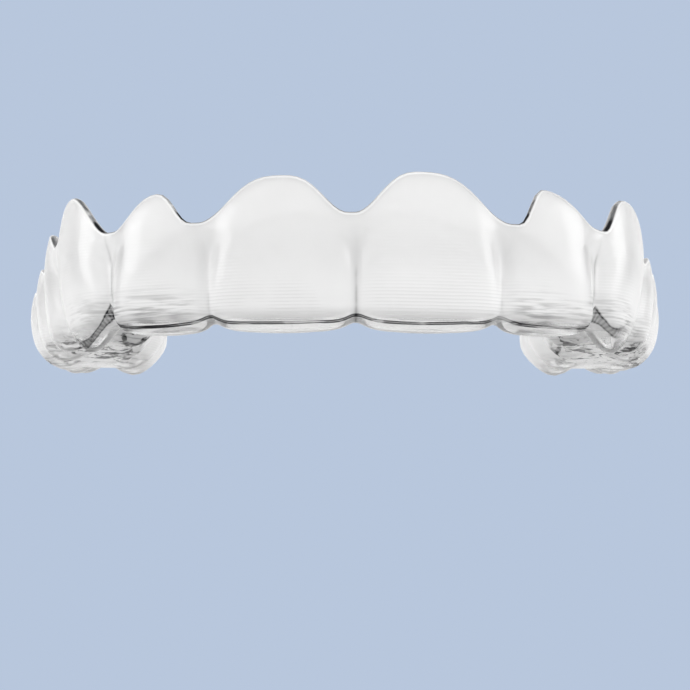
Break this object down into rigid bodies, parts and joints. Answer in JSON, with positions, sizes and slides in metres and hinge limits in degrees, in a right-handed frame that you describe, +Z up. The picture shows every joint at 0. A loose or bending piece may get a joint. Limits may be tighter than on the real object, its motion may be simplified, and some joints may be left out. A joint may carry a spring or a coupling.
{
  "type": "clear aligner",
  "caption": "Upper dental aligner: a thin clear tray formed over the teeth, arch-shaped, with a scalloped trimmed edge.",
  "frame": {"origin": "centre of the footprint, on the surface that the biting edges stand on", "axes": "+Z up towards the trimmed gum edge and the mouth of the trough; the front teeth face -Y and the arch opens towards +Y; +X is the wearer's left"},
  "size_m": [0.0604, 0.0454, 0.0106],
  "materials": {
    "clear_plastic": "clear, glossy, faintly milky"
  },
  "bodies": {
    "root": {"aligner": "clear_plastic"}
  },
  "joints": []
}
